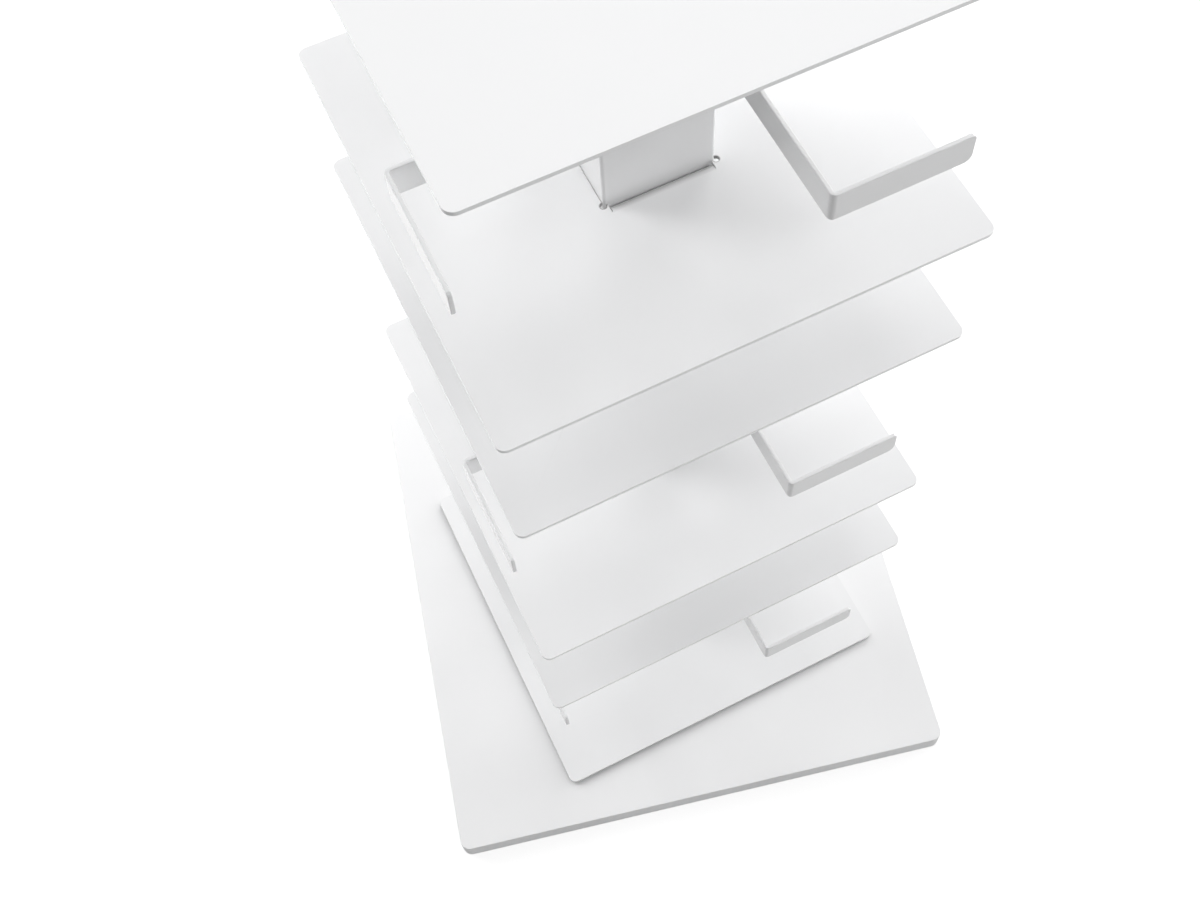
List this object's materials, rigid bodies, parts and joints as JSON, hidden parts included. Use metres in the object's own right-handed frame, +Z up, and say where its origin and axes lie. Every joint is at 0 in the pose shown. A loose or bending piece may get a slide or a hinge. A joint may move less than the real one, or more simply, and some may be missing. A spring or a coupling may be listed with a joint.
{
  "type": "revolving column bookcase",
  "caption": "Free-standing bookcase of square sheet-steel shelves and bent book rails on a square column that turns on a heavy square base plate.",
  "frame": {"origin": "on the floor, on the column's axis, at the middle of the square base", "axes": "+Z up along the column, -Y towards the front edge of the shelves, +X to their right; the base is turned 13.5 degrees clockwise under them, seen from above"},
  "size_m": [0.5988, 0.5988, 1.0433],
  "materials": {
    "white_lacquer": "glossy white lacquer on sheet steel",
    "base_lacquer": "satin white lacquer on sheet steel",
    "painted_screw": "white painted screw",
    "zinc_steel": "zinc plated steel",
    "raw_steel": "oiled hot-rolled steel",
    "black_rubber": "moulded rubber",
    "white_nylon": "natural nylon",
    "white_plastic": "moulded white plastic"
  },
  "bodies": {
    "base": {"base_cover": "base_lacquer", "ballast_plate": "raw_steel", "floor_pad_1": "black_rubber", "floor_pad_2": "black_rubber", "floor_pad_3": "black_rubber", "floor_pad_4": "black_rubber", "lower_race": "zinc_steel", "pivot_bolt": "zinc_steel", "pivot_washer": "zinc_steel", "pivot_nut": "zinc_steel"},
    "ball_cage": {"ball_ring": "zinc_steel"},
    "tower": {"upper_race": "zinc_steel", "pivot_bush": "white_nylon", "swivel_plate": "white_lacquer", "swivel_screw_1": "painted_screw", "swivel_screw_2": "painted_screw", "swivel_screw_3": "painted_screw", "swivel_screw_4": "painted_screw", "column": "white_lacquer", "column_cap": "white_plastic", "shelf_plate_1": "white_lacquer", "shelf_plate_2": "white_lacquer", "shelf_plate_3": "white_lacquer", "shelf_plate_4": "white_lacquer", "shelf_plate_5": "white_lacquer", "shelf_plate_6": "white_lacquer", "shelf_screw_2_front": "painted_screw", "shelf_screw_2_back": "painted_screw", "shelf_screw_3_front": "painted_screw", "shelf_screw_3_back": "painted_screw", "shelf_screw_4_front": "painted_screw", "shelf_screw_4_back": "painted_screw", "shelf_screw_5_front": "painted_screw", "shelf_screw_5_back": "painted_screw", "shelf_screw_6_front": "painted_screw", "shelf_screw_6_back": "painted_screw", "rail_low_right": "white_lacquer", "rail_screw_low_right": "painted_screw", "rail_low_back": "white_lacquer", "rail_screw_low_back": "painted_screw", "rail_low_left": "white_lacquer", "rail_screw_low_left": "painted_screw", "rail_low_front": "white_lacquer", "rail_screw_low_front": "painted_screw", "rail_middle_right": "white_lacquer", "rail_screw_middle_right": "painted_screw", "rail_middle_back": "white_lacquer", "rail_screw_middle_back": "painted_screw", "rail_middle_left": "white_lacquer", "rail_screw_middle_left": "painted_screw", "rail_middle_front": "white_lacquer", "rail_screw_middle_front": "painted_screw", "rail_high_right": "white_lacquer", "rail_screw_high_right": "painted_screw", "rail_high_back": "white_lacquer", "rail_screw_high_back": "painted_screw", "rail_high_left": "white_lacquer", "rail_screw_high_left": "painted_screw", "rail_high_front": "white_lacquer", "rail_screw_high_front": "painted_screw"}
  },
  "joints": [
    {"name": "tower_spin", "type": "hinge", "parent": "base", "child": "tower", "pos_m": [0, 0, 0.0169], "axis": [0, 0, 1], "continuous": true},
    {"name": "cage_spin", "type": "hinge", "parent": "base", "child": "ball_cage", "pos_m": [0, 0, 0.0169], "axis": [0, 0, 1], "continuous": true}
  ],
  "couplings": [
    {"joint": "cage_spin", "follows": "tower_spin", "ratio": 0.5}
  ]
}
